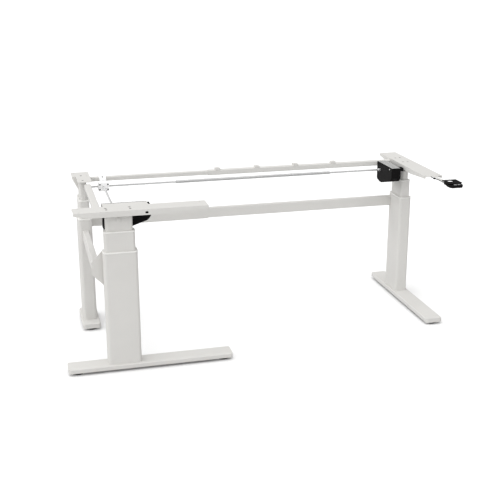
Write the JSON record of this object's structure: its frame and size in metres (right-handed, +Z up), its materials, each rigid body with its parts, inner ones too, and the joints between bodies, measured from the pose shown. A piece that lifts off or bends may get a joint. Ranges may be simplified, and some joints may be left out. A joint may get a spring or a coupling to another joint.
{
  "type": "height adjustable standing desk",
  "caption": "L-shaped standing desk frame on telescopic columns and flat feet, lifted together by a motor and drive shafts, with a handset and no tabletop.",
  "frame": {"origin": "centre of the bounding box in plan, on the floor", "axes": "+X along the main run from the corner leg to the right leg, +Y towards the back, +Z up"},
  "size_m": [1.849, 0.883, 0.725],
  "materials": {
    "grey_white_paint": "fine powder coat",
    "black_plastic": "lightly grained",
    "cable_sheath": "satin",
    "button_plastic": "satin",
    "nylon": "smooth",
    "clear_plastic": "milky",
    "cast_alloy": "die cast",
    "motor_steel": "satin",
    "bronze": "machined",
    "bare_steel": "drawn"
  },
  "bodies": {
    "base": {"corner_foot": "grey_white_paint", "front_foot": "grey_white_paint", "corner_outer_tube": "grey_white_paint", "front_outer_tube": "grey_white_paint", "base_glides": "nylon", "base_floor_posts": "bare_steel", "main_beam_outer": "grey_white_paint", "return_beam": "grey_white_paint"},
    "right_base": {"right_foot": "grey_white_paint", "right_outer_tube": "grey_white_paint", "right_base_glide": "nylon", "right_floor_post": "bare_steel", "main_beam_inner": "grey_white_paint"},
    "lift_frame": {"corner_inner_tube": "grey_white_paint", "front_inner_tube": "grey_white_paint", "corner_bracket": "grey_white_paint", "front_bracket": "grey_white_paint", "return_rail": "grey_white_paint", "rear_rail_inner": "grey_white_paint", "corner_gearbox": "clear_plastic", "front_gear_cover": "black_plastic", "top_screws": "grey_white_paint"},
    "right_top": {"right_inner_tube": "grey_white_paint", "right_bracket": "grey_white_paint", "rear_rail_outer": "grey_white_paint", "motor_housing": "black_plastic", "motor_gearcase": "cast_alloy", "motor_can": "motor_steel", "handset_strip": "grey_white_paint", "handset_body": "black_plastic", "handset_cable": "cable_sheath", "right_top_screws": "grey_white_paint"},
    "main_shaft": {"shaft_rod_left": "bare_steel", "shaft_sleeve": "bare_steel"},
    "right_shaft": {"shaft_rod_right": "bare_steel"},
    "cross_shaft_body": {"cross_shaft": "bare_steel"},
    "rotor": {"motor_rotor": "bare_steel"},
    "corner_middle": {"corner_middle_tube": "grey_white_paint", "corner_middle_glide": "nylon", "corner_nut_carrier": "bronze"},
    "corner_upper_screw_body": {"corner_upper_screw": "bare_steel"},
    "corner_lower_screw_body": {"corner_lower_screw": "bare_steel"},
    "front_middle": {"front_middle_tube": "grey_white_paint", "front_middle_glide": "nylon", "front_nut_carrier": "bronze"},
    "front_upper_screw_body": {"front_upper_screw": "bare_steel"},
    "front_lower_screw_body": {"front_lower_screw": "bare_steel"},
    "right_middle": {"right_middle_tube": "grey_white_paint", "right_middle_glide": "nylon", "right_nut_carrier": "bronze"},
    "right_upper_screw_body": {"right_upper_screw": "bare_steel"},
    "right_lower_screw_body": {"right_lower_screw": "bare_steel"},
    "up_button_body": {"up_button": "button_plastic"},
    "down_button_body": {"down_button": "button_plastic"},
    "corner_pad_front_body": {"corner_pad_front": "black_plastic"},
    "corner_pad_back_body": {"corner_pad_back": "black_plastic"},
    "front_pad_left_body": {"front_pad_left": "black_plastic"},
    "front_pad_right_body": {"front_pad_right": "black_plastic"},
    "right_pad_front_body": {"right_pad_front": "black_plastic"},
    "right_pad_back_body": {"right_pad_back": "black_plastic"}
  },
  "joints": [
    {"name": "lift", "type": "slide", "parent": "base", "child": "lift_frame", "axis": [0, 0, 1], "range_m": [-0.06, 0.56]},
    {"name": "width", "type": "slide", "parent": "base", "child": "right_base", "axis": [1, 0, 0], "range_m": [-0.25, 0.12]},
    {"name": "width_top", "type": "slide", "parent": "lift_frame", "child": "right_top", "axis": [1, 0, 0], "range_m": [-0.25, 0.12]},
    {"name": "corner_middle_slide", "type": "slide", "parent": "base", "child": "corner_middle", "axis": [0, 0, 1], "range_m": [-0.03, 0.28]},
    {"name": "front_middle_slide", "type": "slide", "parent": "base", "child": "front_middle", "axis": [0, 0, 1], "range_m": [-0.03, 0.28]},
    {"name": "right_middle_slide", "type": "slide", "parent": "right_base", "child": "right_middle", "axis": [0, 0, 1], "range_m": [-0.03, 0.28]},
    {"name": "corner_upper_screw_turn", "type": "hinge", "parent": "lift_frame", "child": "corner_upper_screw_body", "pos_m": [-0.7785, 0.1955, 0.4], "axis": [0, 0, 1], "continuous": true},
    {"name": "corner_lower_screw_turn", "type": "hinge", "parent": "corner_middle", "child": "corner_lower_screw_body", "pos_m": [-0.7785, 0.1955, 0.4], "axis": [0, 0, 1], "continuous": true},
    {"name": "front_upper_screw_turn", "type": "hinge", "parent": "lift_frame", "child": "front_upper_screw_body", "pos_m": [-0.6785, -0.3975, 0.4], "axis": [0, 0, 1], "continuous": true},
    {"name": "front_lower_screw_turn", "type": "hinge", "parent": "front_middle", "child": "front_lower_screw_body", "pos_m": [-0.6785, -0.3975, 0.4], "axis": [0, 0, 1], "continuous": true},
    {"name": "right_upper_screw_turn", "type": "hinge", "parent": "right_top", "child": "right_upper_screw_body", "pos_m": [0.8535, 0.1955, 0.4], "axis": [0, 0, 1], "continuous": true},
    {"name": "right_lower_screw_turn", "type": "hinge", "parent": "right_middle", "child": "right_lower_screw_body", "pos_m": [0.8535, 0.1955, 0.4], "axis": [0, 0, 1], "continuous": true},
    {"name": "main_shaft_turn", "type": "hinge", "parent": "lift_frame", "child": "main_shaft", "pos_m": [-0.0785, 0.1955, 0.68], "axis": [1, 0, 0], "continuous": true},
    {"name": "right_shaft_turn", "type": "hinge", "parent": "right_top", "child": "right_shaft", "pos_m": [0.6215, 0.1955, 0.68], "axis": [1, 0, 0], "continuous": true},
    {"name": "cross_shaft_turn", "type": "hinge", "parent": "lift_frame", "child": "cross_shaft_body", "pos_m": [-0.6785, -0.1045, 0.68], "axis": [0, 1, 0], "continuous": true},
    {"name": "rotor_turn", "type": "hinge", "parent": "right_top", "child": "rotor", "pos_m": [0.7615, 0.1896, 0.65632], "axis": [0, -0.9703, 0.2419], "continuous": true},
    {"name": "up_press", "type": "slide", "parent": "right_top", "child": "up_button_body", "axis": [0, 0, -1], "range_m": [0, 0.0015], "stiffness_N_per_m": 1000, "springref_m": -0.0005},
    {"name": "down_press", "type": "slide", "parent": "right_top", "child": "down_button_body", "axis": [0, 0, -1], "range_m": [0, 0.0015], "stiffness_N_per_m": 1000, "springref_m": -0.0005},
    {"name": "corner_pad_front_level", "type": "slide", "parent": "base", "child": "corner_pad_front_body", "axis": [0, 0, -1], "range_m": [0, 0.012]},
    {"name": "corner_pad_back_level", "type": "slide", "parent": "base", "child": "corner_pad_back_body", "axis": [0, 0, -1], "range_m": [0, 0.012]},
    {"name": "front_pad_left_level", "type": "slide", "parent": "base", "child": "front_pad_left_body", "axis": [0, 0, -1], "range_m": [0, 0.012]},
    {"name": "front_pad_right_level", "type": "slide", "parent": "base", "child": "front_pad_right_body", "axis": [0, 0, -1], "range_m": [0, 0.012]},
    {"name": "right_pad_front_level", "type": "slide", "parent": "right_base", "child": "right_pad_front_body", "axis": [0, 0, -1], "range_m": [0, 0.012]},
    {"name": "right_pad_back_level", "type": "slide", "parent": "right_base", "child": "right_pad_back_body", "axis": [0, 0, -1], "range_m": [0, 0.012]}
  ],
  "couplings": [
    {"joint": "width_top", "follows": "width", "ratio": 1},
    {"joint": "corner_middle_slide", "follows": "lift", "ratio": 0.5},
    {"joint": "front_middle_slide", "follows": "lift", "ratio": 0.5},
    {"joint": "right_middle_slide", "follows": "lift", "ratio": 0.5},
    {"joint": "corner_upper_screw_turn", "follows": "lift", "rad_per_m": 392.7},
    {"joint": "corner_lower_screw_turn", "follows": "lift", "rad_per_m": 392.7},
    {"joint": "front_upper_screw_turn", "follows": "lift", "rad_per_m": 392.7},
    {"joint": "front_lower_screw_turn", "follows": "lift", "rad_per_m": 392.7},
    {"joint": "right_upper_screw_turn", "follows": "lift", "rad_per_m": 392.7},
    {"joint": "right_lower_screw_turn", "follows": "lift", "rad_per_m": 392.7},
    {"joint": "main_shaft_turn", "follows": "lift", "rad_per_m": 392.7},
    {"joint": "right_shaft_turn", "follows": "lift", "rad_per_m": 392.7},
    {"joint": "cross_shaft_turn", "follows": "lift", "rad_per_m": 392.7},
    {"joint": "rotor_turn", "follows": "lift", "rad_per_m": 3927}
  ]
}
